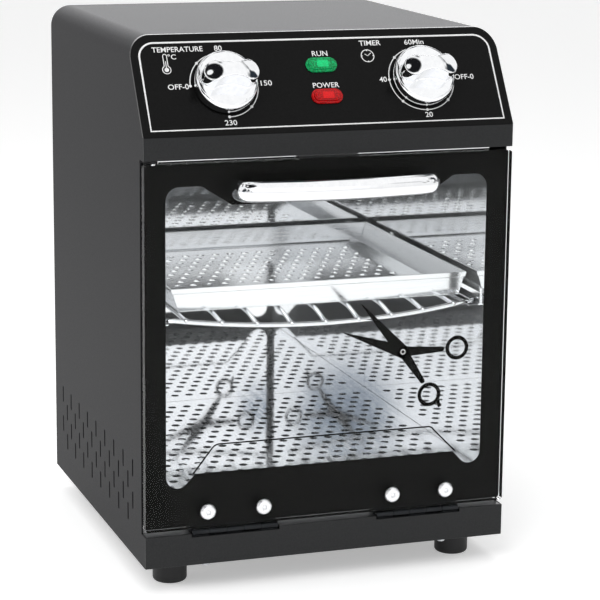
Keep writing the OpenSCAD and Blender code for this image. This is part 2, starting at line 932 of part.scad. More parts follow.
module pane_outline(inset) {
    round_rect(
        [-half_w + door_side_gap + inset, z_glass_low + inset],
        [half_w - door_side_gap - inset, z_glass_top - inset],
        1.5
    );
}

// Places a round hole or rod at each door screw
module at_door_screws() {
    for (side = [-1, 1], end = [-1, 1])
        translate([side * hinge_x + end * hinge_screw_pitch / 2, 0, z_base + door_screw_z]) children();
}

module at_handle_screws() {
    for (side = [-1, 1]) translate([side * handle_screw_x, 0, z_handle]) children();
}

module door_glass() {
    color([0.75, 0.85, 0.85, 0.3])
        difference() {
            along_y(y_front, y_glass_back) pane_outline(0);
            at_door_screws() rod_y(0, 0, y_front - over, y_glass_back + over, m3_r + 0.3);
            at_handle_screws() rod_y(0, 0, y_front - over, y_glass_back + over, m3_r + 0.3);
        }
}

// The window's outline: straight sill between two lobes, round top corners, and a tongue
// of the border that comes down behind the handle
module window_outline() {
    side = half_w - mask_side;
    sill = z_base + window_sill;
    top = z_glass_top - window_drop;
    corner = 8;
    inner = 6;
    tongue = top - handle_tongue_h;
    lobe_x = side - lobe_r;
    lobe_z = sill - 0.8;
    shoulder = handle_tongue_w + handle_tongue_h + 2;
    slant = 51;
    translate([-side, sill]) square([2 * side, tongue - sill]);
    for (end = [-1, 1]) scale([end, 1]) {
        translate([shoulder + inner, tongue - over]) square([side - shoulder - inner - corner, handle_tongue_h + over]);
        translate([shoulder, tongue - over]) square([side - shoulder, handle_tongue_h + over - corner]);
        translate([side - corner, top - corner]) circle(corner);
        translate([shoulder + inner, top - inner]) circle(inner);
        polygon([
            [handle_tongue_w, tongue],
            [shoulder + inner - inner * cos(45), top - inner + inner * sin(45)],
            [shoulder + inner, top - inner],
            [shoulder + inner, tongue - over],
            [handle_tongue_w, tongue - over]
        ]);
        translate([lobe_x, lobe_z]) circle(lobe_r);
        polygon([
            [side, lobe_z],
            [side, sill + over],
            [lobe_x - lobe_r * sin(slant) - 6, sill + over],
            [lobe_x - lobe_r * sin(slant) - 5, sill],
            [lobe_x - lobe_r * sin(slant), lobe_z - lobe_r * cos(slant)],
            [lobe_x, lobe_z]
        ]);
    }
}

module door_mask() {
    color(gloss_black)
        difference() {
            along_y(y_glass_back, y_mask_back)
                difference() {
                    pane_outline(0.3);
                    window_outline();
                }
            at_door_screws() rod_y(0, 0, y_glass_back - over, y_mask_back + over, m3_r + 0.3);
            at_handle_screws() rod_y(0, 0, y_glass_back - over, y_mask_back + over, m3_r + 0.3);
        }
}

// The handle seen from above: a slow bow with round shoulders that turn back to the glass
module handle_plan(inset, shoulder_r) {
    w = handle_len / 2 - inset;
    reach = handle_reach - inset;
    intersection() {
        translate([0, y_front - reach + handle_bow_r - inset]) circle(handle_bow_r - inset, $fn = 200);
        round_rect([-w, y_front - reach], [w, y_front + 40], shoulder_r);
    }
}

module door_handle() {
    color(chrome)
        difference() {
            intersection() {
                translate([0, 0, z_handle - handle_h / 2])
                    linear_extrude(handle_h)
                    difference() {
                        handle_plan(0, 16);
                        handle_plan(handle_bar_t, 9);
                        translate([-handle_len, y_front]) square([2 * handle_len, 60]);
                    }
                translate([0, 0, z_handle]) along_y(y_front - handle_reach - over, y_front)
                    oval(handle_len, handle_h);
            }
            at_handle_screws() rod_y(0, 0, y_front - 8, y_front + over, m3_r + screw_gap);
        }
}

module handle_screws() {
    color(zinc)
        at_handle_screws() {
            rod_y(0, 0, y_mask_back, y_mask_back + 1.8, 3);
            rod_y(0, 0, y_front - 7, y_mask_back, m3_r);
        }
}

// Domed heads: a cap cut off a sphere by the face of the glass
module door_screws() {
    head_h = 2.2;
    r = door_screw_d / 2;
    dome_r = (r * r + head_h * head_h) / (2 * head_h);
    color(chrome)
        at_door_screws() {
            intersection() {
                translate([0, y_front - head_h + dome_r, 0]) sphere(dome_r, $fn = 96);
                rod_y(0, 0, y_front - head_h, y_front, r);
            }
            rod_y(0, 0, y_front, y_mask_back + leaf_t + 2, m3_r);
        }
}

module hinge_nuts() {
    color(zinc)
        at_door_screws()
            translate([0, y_mask_back + leaf_t, 0])
            rotate([-90, 0, 0])
            difference() {
                cylinder(h = 2, r = 3.1, $fn = 6);
                translate([0, 0, -over]) cylinder(h = 2 + 2 * over, r = m3_r + screw_gap);
            }
}

// The wing grip from above: a bar between two round ends, drawn in at its waist
module wing_outline() {
    end_r = wing_w / 2;
    waist_r = 20;
    reach = wing_len / 2 - end_r;
    difference() {
        union() {
            square([2 * reach, 2 * end_r], center = true);
            for (end = [-1, 1]) translate([end * reach, 0]) circle(end_r);
        }
        for (side = [-1, 1]) translate([0, side * (wing_waist / 2 + waist_r)]) circle(waist_r, $fn = 96);
    }
}

// A chromed knob: a round base with a rolled rim, and the wing grip across it
module knob(x, turn) {
    r = knob_d / 2;
    roll = 2.5;
    crown_r = 42;
    bore_r = shaft_r + screw_gap;
    color(chrome)
        on_panel(x, knob_s)
        rotate([0, 0, turn])
        translate([0, 0, knob_lift])
        difference() {
            union() {
                rotate_extrude() {
                    polygon([
                        [0, 0],
                        [r, 0],
                        [r, knob_base_h - roll],
                        [r - roll, knob_base_h - roll],
                        [r - roll, knob_base_h],
                        [0, knob_base_h]
                    ]);
                    translate([r - roll, knob_base_h - roll]) circle(roll);
                }
                intersection() {
                    linear_extrude(knob_base_h + wing_h) wing_outline();
                    translate([0, 0, knob_base_h + wing_h - crown_r]) sphere(crown_r, $fn = 96);
                }
            }
            translate([0, 0, -over]) cylinder(h = bush_out + nut_h + over, r = 9.5);
            translate([0, 0, -over]) cylinder(h = knob_bore_len + over, r = bore_r);
        }
}

module temperature_knob() {
    knob(-knob_x, 0);
}

module timer_knob() {
    knob(knob_x, 180);
}

module control_shaft(x) {
    color(zinc)
        on_panel(x, knob_s)
        translate([0, 0, -panel_t - 11])
        cylinder(h = panel_t + 11 + knob_lift + knob_bore_len, r = shaft_r);
}

module thermostat_shaft() {
    control_shaft(-knob_x);
}

module timer_shaft() {
    control_shaft(knob_x);
}

// Levels and reaches of the rack
rack_gap = 0.1;
rack_x = chamber_x - liner_t - 0.5 - rack_rod_r;
rack_z = z_rail + rack_rod_r + rack_gap;
rack_y_back = y_chamber_back - 5;
rack_y_front = y_front + 17;
rack_corner = 8;

// Half the chord of the bowed front rod, its rise in its own tilted plane, and its radius
bow_half = rack_x - rack_corner;
bow_rise = sqrt(rack_bow_drop * rack_bow_drop + rack_bow_out * rack_bow_out);
bow_r = (bow_half * bow_half + bow_rise * bow_rise) / (2 * bow_rise);
bow_angle = asin(bow_half / bow_r);
bow_tilt = atan2(rack_bow_drop, rack_bow_out);

// How much of the bow's rise is left at a distance from the middle
function bow_share(x) = (sqrt(bow_r * bow_r - x * x) - bow_r + bow_rise) / bow_rise;

module rack_corner_bend(side, y, turn) {
    translate([side * (rack_x - rack_corner), y, rack_z])
        rotate([0, 0, turn])
        rotate_extrude(angle = 90)
        translate([rack_corner, 0])
        circle(rack_rod_r, $fn = 24);
}

// The bent outer rod: three straight sides and four bends
module rack_frame() {
    color(chrome) {
        for (side = [-1, 1]) {
            rod_y(side * rack_x, rack_z, rack_y_front + rack_corner, rack_y_back - rack_corner, rack_rod_r);
            rack_corner_bend(side, rack_y_back - rack_corner, side > 0 ? 0 : 90);
            rack_corner_bend(side, rack_y_front + rack_corner, side > 0 ? -90 : 180);
        }
        rod_x(rack_y_back, rack_z, -bow_half, bow_half, rack_rod_r);
    }
}

// The bowed front rod, welded end to end with the outer rod's front bends
module rack_front_rod() {
    color(chrome)
        translate([0, rack_y_front, rack_z])
            rotate([bow_tilt, 0, 0])
            translate([0, bow_r - bow_rise, 0])
            rotate([0, 0, -90 - bow_angle])
            rotate_extrude(angle = 2 * bow_angle, $fn = 96)
            translate([bow_r, 0])
            circle(rack_rod_r, $fn = 24);
}

// Level of the cross wires, whose tops are level with the outer rod's
z_wire = rack_z + rack_rod_r - rack_wire_r;

// A wire from the rear rod to the front rod, where it steps down into the weld
module cross_wire(x) {
    share = bow_share(x);
    y_end = rack_y_front - rack_bow_out * share;
    z_end = rack_z - rack_bow_drop * share;
    rod_y(x, z_wire, y_end, rack_y_back, rack_wire_r);
    translate([x, y_end, z_wire]) sphere(rack_wire_r, $fn = 24);
    translate([x, y_end, z_end]) cylinder(h = z_wire - z_end, r = rack_wire_r);
}

// The wires are spot-welded into the outer rod at both ends
module rack_wires() {
    color(chrome)
        for (i = [-rack_half_count:rack_half_count])
            cross_wire(i * rack_pitch);
}

// The level that the tray rests on, and its centre line
tray_lift = 0.05;
z_tray = z_wire + rack_wire_r + tray_lift;
tray_y = y_tray_front + tray_d / 2;

// A pan-shaped block with leaning walls, drawn in by some distance
module tray_block(inset, low) {
    half = tray_w / 2 - inset;
    lean = tray_flare / tray_h;
    top = z_tray + tray_h + low;
    intersection() {
        along_y(y_tray_front + inset, y_tray_front + tray_d - inset)
            polygon([
                [tray_shift - half + tray_flare - lean * low, z_tray + low],
                [tray_shift + half - tray_flare + lean * low, z_tray + low],
                [tray_shift + half + lean * low, top],
                [tray_shift - half - lean * low, top]
            ]);
        block([-body_w, y_front, z_tray + low], [body_w, y_rear, top]);
    }
}

// The folded frame of the tray: leaning walls, a hemmed rim and a ledge for the base
module tray_frame() {
    hem = 3;
    ledge = 11;
    mesh_w = tray_w / 2 - tray_flare - ledge;
    color(stainless)
        difference() {
            union() {
                difference() {
                    tray_block(0, 0);
                    tray_block(tray_t, tray_t);
                }
                difference() {
                    intersection() {
                        tray_block(-0.6, 0);
                        block([-body_w, y_front, z_tray + tray_h - hem], [body_w, y_rear, z_tray + tray_h]);
                    }
                    tray_block(tray_t / 2, tray_t);
                }
            }
            block(
                [tray_shift - mesh_w, y_tray_front + ledge, z_tray - over],
                [tray_shift + mesh_w, y_tray_front + tray_d - ledge, z_tray + 2]
            );
        }
}

// The perforated sheet that lies on the tray's ledge
module tray_base() {
    lap = 5;
    ledge = 11;
    w = tray_w - 2 * tray_flare - 2 * ledge + 2 * lap;
    d = tray_d - 2 * ledge + 2 * lap;
    color(stainless)
        translate([tray_shift, tray_y, z_tray + tray_t])
            linear_extrude(0.6)
            difference() {
                square([w, d], center = true);
                hole_field(w - 2 * lap - 2, d - 2 * lap - 2);
            }
}

outer_shell();
rear_panel();
base_pan();
base_strip();
header_strip();
control_panel();
front_frame();
chamber_walls();
chamber_back();
heater_well();
perforated_floor();
shelf_rail(-1);  // shelf_rail_left
shelf_rail(1);  // shelf_rail_right
tubular_heater();
heater_clips();
heater_terminals();
thermostat_body();
thermostat_bulb();
bulb_clip();
timer_body();
control_nuts();
run_lamp_lens();
run_lamp_body();
power_lamp_lens();
power_lamp_body();
terminal_block();
cord_gland();
magnet_catch();
door_bumpers();
hinge_base_leaf(-1);  // hinge_base_leaf_left
hinge_base_leaf(1);  // hinge_base_leaf_right
hinge_pin(-1);  // hinge_pin_left
hinge_pin(1);  // hinge_pin_right
foot(0);  // foot_front_left
foot(1);  // foot_front_right
foot(2);  // foot_rear_left
foot(3);  // foot_rear_right
foot_screws();
base_strip_screws();
rear_screws();
door_glass();
door_mask();
door_handle();
handle_screws();
door_screws();
hinge_nuts();
strike_plate();
hinge_door_leaf(-1);  // hinge_door_leaf_left
hinge_door_leaf(1);  // hinge_door_leaf_right
temperature_knob();
thermostat_shaft();
timer_knob();
timer_shaft();
rack_frame();
rack_front_rod();
rack_wires();
tray_frame();
tray_base();
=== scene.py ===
import math
import bpy
from mathutils import Matrix, Vector


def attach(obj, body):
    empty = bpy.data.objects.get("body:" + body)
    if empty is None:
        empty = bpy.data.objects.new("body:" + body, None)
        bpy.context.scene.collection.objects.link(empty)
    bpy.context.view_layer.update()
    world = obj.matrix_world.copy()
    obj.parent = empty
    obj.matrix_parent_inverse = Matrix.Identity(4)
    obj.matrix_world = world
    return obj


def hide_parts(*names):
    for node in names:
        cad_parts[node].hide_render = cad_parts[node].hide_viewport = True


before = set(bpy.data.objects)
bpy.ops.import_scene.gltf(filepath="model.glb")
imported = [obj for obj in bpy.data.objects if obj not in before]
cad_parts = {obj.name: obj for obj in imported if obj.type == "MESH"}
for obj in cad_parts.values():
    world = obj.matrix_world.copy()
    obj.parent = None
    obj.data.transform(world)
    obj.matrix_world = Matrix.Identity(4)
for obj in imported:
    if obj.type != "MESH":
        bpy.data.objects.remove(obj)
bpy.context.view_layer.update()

# Camera
# It stands where the perspective fit of the photograph puts it, to the left and a little above,
# with a long lens and no shift.
camera_data = bpy.data.cameras.new("camera")
camera_data.sensor_width = 36
camera_data.lens = 137.66
camera = bpy.data.objects.new("camera", camera_data)
bpy.context.scene.collection.objects.link(camera)
camera_right = Vector((0.94584805, -0.32446199, 0.00979246))
camera_up = Vector((0.06087923, 0.20694081, 0.97645749))
camera_back = Vector((-0.3188498, -0.92298425, 0.21548755))
camera_turn = Matrix((camera_right, camera_up, camera_back)).transposed().to_4x4()
camera_place = (-0.43332, -1.30485, 0.44757)
camera.matrix_world = Matrix.Translation(camera_place) @ camera_turn
bpy.context.scene.camera = camera
bpy.context.scene.view_settings.view_transform = "Standard"


# Studio
# A white background, a pale floor, three soft lamps and an even light all round. Metal and gloss
# mirror white panels with soft blue-grey gaps between them, which give chrome its streaks.
def linear(colour):
    """The linear value of an sRGB hex colour."""
    parts = [int(colour[i:i + 2], 16) / 255 for i in (1, 3, 5)]
    return tuple(p / 12.92 if p <= 0.04045 else ((p + 0.055) / 1.055) ** 2.4 for p in parts) + (1.0,)


def add_node(owner, kind, settings=None, links=None):
    """Adds one node to a material or world, with its settings and the outputs that feed it."""
    node = owner.node_tree.nodes.new(kind)
    for key, value in (settings or {}).items():
        if isinstance(key, int) or key in node.inputs:
            node.inputs[key].default_value = value
        else:
            setattr(node, key, value)
    for key, source in (links or {}).items():
        owner.node_tree.links.new(source, node.inputs[key])
    return node


room_light = 0.55
room = bpy.data.worlds.new("studio_room")
room.use_nodes = True
bpy.context.scene.world = room
direction = add_node(room, "ShaderNodeTexCoord")
stretched = add_node(
    room, "ShaderNodeMapping", {"Scale": (2.2, 2.2, 1.3), "Location": (0.35, 0.1, 0.2)},
    {"Vector": direction.outputs["Generated"]})
panels = add_node(
    room, "ShaderNodeTexNoise", {"Scale": 1.6, "Detail": 1.0, "Roughness": 0.4},
    {"Vector": stretched.outputs["Vector"]})
panel_tones = add_node(room, "ShaderNodeValToRGB", None, {"Fac": panels.outputs["Fac"]})
panel_tones.color_ramp.elements[0].position = 0.4
panel_tones.color_ramp.elements[0].color = linear("#2A3138")
panel_tones.color_ramp.elements[1].position = 0.47
panel_tones.color_ramp.elements[1].color = linear("#FFFFFF")
mirrored = panel_tones.outputs["Color"]
# Each panel of the room: where it is seen, its outer and inner angle in degrees and its light.
# In turn: the open front, the room over the knobs, a dark flag at the upper left with a small
# light in it, three small gaps that the chamber shows, and the bright back that the wrap's top
# mirrors at a low angle.
for axis, outer, inner, tone in (
        ((0, -0.974, 0.225), 31, 22, (1.2, 1.2, 1.22, 1)),
        ((0.32, -0.575, 0.75), 34, 24, (1.05, 1.05, 1.05, 1)),
        ((-0.42, -0.5, 0.74), 21, 18, (0.01, 0.01, 0.012, 1)),
        ((-0.52, -0.46, 0.72), 6, 5, (1.0, 1.0, 1.0, 1)),
        ((-0.335, -0.906, 0.264), 1.5, 0.8, (0.28, 0.33, 0.4, 1)),
        ((0.3, -0.92, 0.262), 0.7, 0.3, (0.3, 0.35, 0.42, 1)),
        ((-0.29, -0.93, 0.21), 1.0, 0.5, (0.28, 0.33, 0.4, 1)),
        ((0.32, 0.922, 0.216), 32, 16, (3.4, 3.4, 3.45, 1))):
    along = add_node(
        room, "ShaderNodeVectorMath", {"operation": "DOT_PRODUCT", 1: Vector(axis).normalized()},
        {0: direction.outputs["Generated"]})
    inside = add_node(
        room, "ShaderNodeMapRange",
        {"From Min": math.cos(math.radians(outer)), "From Max": math.cos(math.radians(inner))},
        {"Value": along.outputs["Value"]})
    panel = add_node(
        room, "ShaderNodeMix", {"data_type": "RGBA", 7: tone},
        {0: inside.outputs["Result"], 6: mirrored})
    mirrored = panel.outputs[2]
ray = add_node(room, "ShaderNodeLightPath")
for_gloss = add_node(
    room, "ShaderNodeMix", {"data_type": "RGBA", 6: (room_light, room_light, room_light, 1)},
    {0: ray.outputs["Is Glossy Ray"], 7: mirrored})
for_eye = add_node(
    room, "ShaderNodeMix", {"data_type": "RGBA", 7: (1, 1, 1, 1)},
    {0: ray.outputs["Is Camera Ray"], 6: for_gloss.outputs[2]})
room_surface = room.node_tree.nodes["Background"]
room.node_tree.links.new(for_eye.outputs[2], room_surface.inputs["Color"])
room_surface.inputs["Strength"].default_value = 1.0

# Each lamp: its name, place, size in metres and power in watts, and all aim at the cabinet.
# What shines mirrors the panels of the room and not the lamps.
for lamp_name, place, span, power in (
        ("key", (-0.7, -0.95, 1.25), 0.9, 9.0),
        ("side_fill", (-1.4, 0.25, 0.6), 0.8, 6.0),
        ("top", (0.1, 0.1, 1.5), 0.9, 6.0)):
    lamp_data = bpy.data.lights.new(lamp_name, "AREA")
    lamp_data.size = span
    lamp_data.energy = power
    lamp = bpy.data.objects.new(lamp_name, lamp_data)
    lamp.visible_glossy = False
    bpy.context.scene.collection.objects.link(lamp)
    aim = Vector((0, 0, 0.16)) - Vector(place)
    lamp.matrix_world = Matrix.Translation(place) @ aim.to_track_quat("-Z", "Y").to_matrix().to_4x4()

# The floor is painted board: matt white that still takes the cabinet's soft shadow. It gives off a
# little light where the camera, mirrors and glass see it, so that it stays as pale as the room.
floor_span = 8
floor_level = -0.0002
floor_glow = 0.4
share_through_glass = 0.5
bpy.ops.object.select_all(action="DESELECT")
bpy.ops.mesh.primitive_plane_add(size=floor_span, location=(0, 0, floor_level))
floor = bpy.context.object
floor.name = "studio_floor"
floor_paint = bpy.data.materials.new("matt_white_floor_board")
floor_paint.use_nodes = True
floor_shader = floor_paint.node_tree.nodes["Principled BSDF"]
floor_shader.inputs["Base Color"].default_value = linear("#F0F0F0")
floor_shader.inputs["Roughness"].default_value = 0.9
floor_shader.inputs["Specular IOR Level"].default_value = 0.1
floor_shader.inputs["Emission Color"].default_value = linear("#FFFFFF")
floor_ray = add_node(floor_paint, "ShaderNodeLightPath")
floor_through = add_node(
    floor_paint, "ShaderNodeMath", {"operation": "MULTIPLY", 1: share_through_glass},
    {0: floor_ray.outputs["Is Transmission Ray"]})
floor_glossy = add_node(
    floor_paint, "ShaderNodeMath", {"operation": "MAXIMUM"},
    {0: floor_ray.outputs["Is Glossy Ray"], 1: floor_through.outputs["Value"]})
floor_seen = add_node(
    floor_paint, "ShaderNodeMath", {"operation": "MAXIMUM"},
    {0: floor_ray.outputs["Is Camera Ray"], 1: floor_glossy.outputs["Value"]})
floor_lift = add_node(
    floor_paint, "ShaderNodeMath", {"operation": "MULTIPLY", 1: floor_glow},
    {0: floor_seen.outputs["Value"]})
floor_paint.node_tree.links.new(floor_lift.outputs["Value"], floor_shader.inputs["Emission Strength"])
floor.data.materials.append(floor_paint)


# Wrap, rear panel and base pan
# The cabinet's casing is 1 mm steel sheet, cut, folded and powder coated in dark grey. The wrap is
# one bend-formed sheet with pressed slots, and the rear panel and pan are screwed to it.
def finish(name, colour, roughness, metallic=0.0, **sockets):
    """A new material with its Principled shader's plain values set."""
    material = bpy.data.materials.new(name)
    material.use_nodes = True
    shader = material.node_tree.nodes["Principled BSDF"]
    shader.inputs["Base Color"].default_value = linear(colour)
    shader.inputs["Roughness"].default_value = roughness
    shader.inputs["Metallic"].default_value = metallic
    for socket, value in sockets.items():
        shader.inputs[socket.replace("_", " ")].default_value = value
    return material


pattern_low = 0.3
pattern_high = 0.7


def grain(material, size, dark, light, rough, relief, stretch=(1, 1, 1), kind="NOISE"):
    """A fine surface pattern: its grain size in metres, two tones, a roughness range and a relief."""
    shader = material.node_tree.nodes["Principled BSDF"]
    where = add_node(material, "ShaderNodeTexCoord")
    scaled = add_node(
        material, "ShaderNodeMapping", {"Scale": tuple(1 / (size * s) for s in stretch)},
        {"Vector": where.outputs["Object"]})
    if kind == "CELLS":
        pattern = add_node(
            material, "ShaderNodeTexVoronoi", {"Scale": 1.0}, {"Vector": scaled.outputs["Vector"]})
        height = pattern.outputs["Distance"]
    else:
        pattern = add_node(
            material, "ShaderNodeTexNoise", {"Scale": 1.0, "Detail": 3.0, "Roughness": 0.55},
            {"Vector": scaled.outputs["Vector"]})
        height = pattern.outputs["Fac"]
    tones = add_node(material, "ShaderNodeValToRGB", None, {"Fac": height})
    tones.color_ramp.elements[0].color = linear(dark)
    tones.color_ramp.elements[0].position = pattern_low
    tones.color_ramp.elements[1].color = linear(light)
    tones.color_ramp.elements[1].position = pattern_high
    material.node_tree.links.new(tones.outputs["Color"], shader.inputs["Base Color"])
    gloss = add_node(
        material, "ShaderNodeMapRange",
        {"From Min": pattern_low, "From Max": pattern_high, "To Min": rough[0], "To Max": rough[1]},
        {"Value": height})
    material.node_tree.links.new(gloss.outputs["Result"], shader.inputs["Roughness"])
    bump = add_node(
        material, "ShaderNodeBump", {"Strength": 1.0, "Distance": relief}, {"Height": height})
    material.node_tree.links.new(bump.outputs["Normal"], shader.inputs["Normal"])
    return material


def coat_nodes(material, *names):
    """Gives CAD nodes that keep their own shape their finish."""
    for name in names:
        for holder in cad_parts[name].material_slots:
            holder.material = material


def use_only(piece):
    """Makes one object the active and only selected one."""
    bpy.ops.object.select_all(action="DESELECT")
    bpy.context.view_layer.objects.active = piece
    piece.select_set(True)


merge_distance = 0.000002


def merged_copy(node, name):
    """A copy of a CAD solid as one merged mesh, free of its parent, for a finished piece."""
    piece = bpy.data.objects.new(name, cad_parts[node].data.copy())
    bpy.context.scene.collection.objects.link(piece)
    use_only(piece)
    bpy.ops.object.mode_set(mode="EDIT")
    bpy.ops.mesh.select_all(action="SELECT")
    bpy.ops.mesh.remove_doubles(threshold=merge_distance)
    bpy.ops.mesh.customdata_custom_splitnormals_clear()
    bpy.ops.object.mode_set(mode="OBJECT")
    return piece


def apply_modifier(piece, kind, **settings):
    """Adds one modifier to the active piece and applies it."""
    bpy.context.view_layer.objects.active = piece
    modifier = piece.modifiers.new(kind.lower(), kind)
    for key, value in settings.items():
        setattr(modifier, key, value)
    bpy.ops.object.modifier_apply(modifier=modifier.name)


def hand_over(piece, body, slot, material, *nodes):
    """Gives a finished piece its material and its body, and hides the nodes it stands for. The slot
    is not used.
    """
    piece.data.materials.clear()
    piece.data.materials.append(material)
    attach(piece, body)
    if nodes:
        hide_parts(*nodes)
    return piece


def eased_copy(node, name, body, slot, material, edge=0.0003, steps=2, smooth=32):
    """A CAD solid, its sharp edges eased by a width in metres, or left as they are at width 0."""
    piece = merged_copy(node, name)
    bpy.ops.object.mode_set(mode="EDIT")
    bpy.ops.mesh.select_all(action="SELECT")
    bpy.ops.mesh.tris_convert_to_quads(
        face_threshold=math.radians(0.5), shape_threshold=math.radians(60))
    bpy.ops.object.mode_set(mode="OBJECT")
    if edge > 0:
        apply_modifier(
            piece, "BEVEL", width=edge, segments=steps, limit_method="ANGLE",
            angle_limit=math.radians(smooth), use_clamp_overlap=True)
    bpy.ops.object.shade_smooth_by_angle(angle=math.radians(smooth))
    apply_modifier(piece, "WEIGHTED_NORMAL", keep_sharp=True, weight=90)
    return hand_over(piece, body, slot, material, node)


# Powder coat on steel: a fine orange-peel skin that spreads each highlight. The top is seen at a low
# angle and mirrors the bright back of the room. The real grain is 0.3 mm, drawn at 0.9 to show.
wrap_coat = grain(
    finish("powder_coated_steel_dark_grey", "#242425", 0.46, Specular_IOR_Level=0.045),
    0.0009, "#202021", "#28282A", (0.42, 0.52), 0.00003)
eased_copy("outer_shell", "wrap_folded_sheet", "cabinet", "wrap_paint", wrap_coat, 0)
eased_copy("rear_panel", "rear_panel_sheet", "cabinet", "wrap_paint", wrap_coat, 0)
eased_copy("base_pan", "base_pan_sheet", "cabinet", "wrap_paint", wrap_coat, 0.00025)


# Base strip and header strip
# Two folded steel strips in 1.5 mm sheet close the front under and over the door. They are coated
# in the same powder, a shade glossier, and the base strip has notches for the hinge knuckles.
strip_coat = grain(
    finish("powder_coated_steel_strip_grey", "#1F2021", 0.4, Specular_IOR_Level=0.25),
    0.0008, "#1B1C1D", "#262728", (0.35, 0.45), 0.00003)
eased_copy("base_strip", "base_strip_folded", "cabinet", "strip_paint", strip_coat, 0.0004, 3)
eased_copy("header_strip", "header_strip_folded", "cabinet", "strip_paint", strip_coat, 0.0004, 3)


# Feet and the cabinet's screws
# Four moulded rubber feet with a rolled lower rim, each held by a zinc-plated screw sunk in its
# middle. Smaller screws, zinc-plated too, hold the base strip and the rear panel.
foot_rubber = grain(
    finish("moulded_black_rubber", "#1B1B1C", 0.55, Specular_IOR_Level=0.4),
    0.0012, "#171718", "#202021", (0.48, 0.62), 0.00004)
for corner in ("front_left", "front_right", "rear_left", "rear_right"):
    eased_copy(
        "foot_" + corner, "foot_rubber_" + corner, "cabinet", "foot_rubber", foot_rubber, 0.0005, 3)

# Bright zinc plate: a pale bluish metal with a faint rolled streak
zinc_plate = grain(
    finish("bright_zinc_plated_steel", "#C3C6C9", 0.3, 1.0),
    0.0014, "#B4B7BB", "#CDD0D3", (0.22, 0.38), 0.00001)
for name in ("foot_screws", "base_strip_screws", "rear_screws"):
    eased_copy(name, name + "_plated", "cabinet", "zinc_small", zinc_plate, 0.0003)


# Chamber
# The chamber is folded from mirror-polished stainless sheet: one piece for the side walls and the
# ceiling, one for the back, a flange that joins it to the casing, and a bent rail on each side.
# Mirror polish leaves almost no grain: faint rolling lines run front to back, 2 mm apart.
mirror_steel = grain(
    finish("mirror_polished_stainless_sheet", "#F6F7F8", 0.03, 0.88),
    0.002, "#F4F5F7", "#FAFBFB", (0.015, 0.05), 0.0000015, (1, 30, 1))
for name in ("front_frame", "chamber_back", "shelf_rail_left", "shelf_rail_right"):
    eased_copy(name, name + "_polished", "cabinet", "liner_steel", mirror_steel, 0.0002, 1)
walls = eased_copy(
    "chamber_walls", "chamber_walls_polished", "cabinet", "liner_steel", mirror_steel, 0.0002, 1)
# Only the inside is polished: the outside of the same sheet keeps its dull mill finish
mill_steel = grain(
    finish("mill_finish_stainless_sheet", "#3E3F40", 0.6, 0.6),
    0.0015, "#383939", "#464748", (0.52, 0.68), 0.000006, (1, 20, 1))
walls.data.materials.append(mill_steel)
half_sheet = 0.0004
inside_top = 0.2423
inside_half = max(abs(v.co.x) for v in walls.data.vertices) - half_sheet
for face in walls.data.polygons:
    if face.center.z > inside_top or abs(face.center.x) > inside_half:
        face.material_index = 1


# Heater well and perforated floor
# A stainless tray under the chamber holds the heater, and the punched sheet over it is the chamber's
# floor. Both keep the shape of their CAD solids.
bright_steel = grain(
    finish("bright_rolled_stainless_sheet", "#F3F4F6", 0.05, 0.9),
    0.0016, "#EEF0F3", "#F8F9FA", (0.03, 0.08), 0.000003, (1, 25, 1))
coat_nodes(bright_steel, "heater_well", "perforated_floor")


# Heater, its clips and terminals
# A bent tubular heater lies in the well on four saddles. Its sheath is steel, dulled grey-green by
# heat, and its ends leave through glazed ceramic bushes.
heater_sheath = grain(
    finish("heat_dulled_steel_tube", "#5A5C58", 0.55, 1.0),
    0.004, "#4A4B46", "#6B6D68", (0.45, 0.68), 0.00002)
coat_nodes(heater_sheath, "tubular_heater")
coat_nodes(zinc_plate, "heater_clips", "bulb_clip", "control_nuts")
# Glazed ceramic: warm white, glossy, with the glaze pooling in slow waves
terminal_glaze = grain(
    finish("glazed_steatite", "#E9E4D8", 0.15, Coat_Weight=0.4),
    0.005, "#E3DDCF", "#EFEBE1", (0.1, 0.2), 0.00004)
coat_nodes(terminal_glaze, "heater_terminals")


# Thermostat and timer bodies
# Both controls are zinc-plated sheet cases behind the panel. The thermostat's capillary leads to a
# nickel-plated bulb under the chamber's ceiling.
case_sheet = grain(
    finish("zinc_plated_control_case", "#B4B7B9", 0.38, 1.0),
    0.003, "#A5A9AC", "#C0C3C5", (0.3, 0.45), 0.00001)
coat_nodes(case_sheet, "thermostat_body", "timer_body")
bulb_plate = grain(
    finish("nickel_plated_copper_tube", "#C4BDB0", 0.22, 1.0),
    0.002, "#B9B1A3", "#CFC9BE", (0.16, 0.3), 0.00001)
coat_nodes(bulb_plate, "thermostat_bulb")


# Terminal block and cord entry
# The block is moulded nylon with four screw wells, and the entry in the rear panel is a bush of
# black rubber.
block_nylon = grain(
    finish("moulded_natural_nylon", "#DDDACB", 0.5),
    0.002, "#D6D2C2", "#E3E0D3", (0.42, 0.58), 0.00003)
coat_nodes(block_nylon, "terminal_block")
gland_rubber = grain(
    finish("moulded_gland_rubber", "#18181A", 0.6),
    0.0012, "#141415", "#1E1E20", (0.5, 0.7), 0.00004)
eased_copy("cord_gland", "cord_gland_bush", "cabinet", "gland_rubber", gland_rubber, 0.0004)


# Catch and bumpers
# A magnet in a small black moulded case over the chamber's mouth holds the strike plate on the door,
# and the door shuts against two rubber bumpers.
catch_case = grain(
    finish("moulded_black_abs", "#1C1C1D", 0.42),
    0.0011, "#18181A", "#222223", (0.36, 0.5), 0.00003)
coat_nodes(catch_case, "magnet_catch")
bumper_rubber = grain(
    finish("cut_black_rubber", "#151516", 0.65),
    0.001, "#111112", "#1B1B1C", (0.55, 0.75), 0.00004)
coat_nodes(bumper_rubber, "door_bumpers")


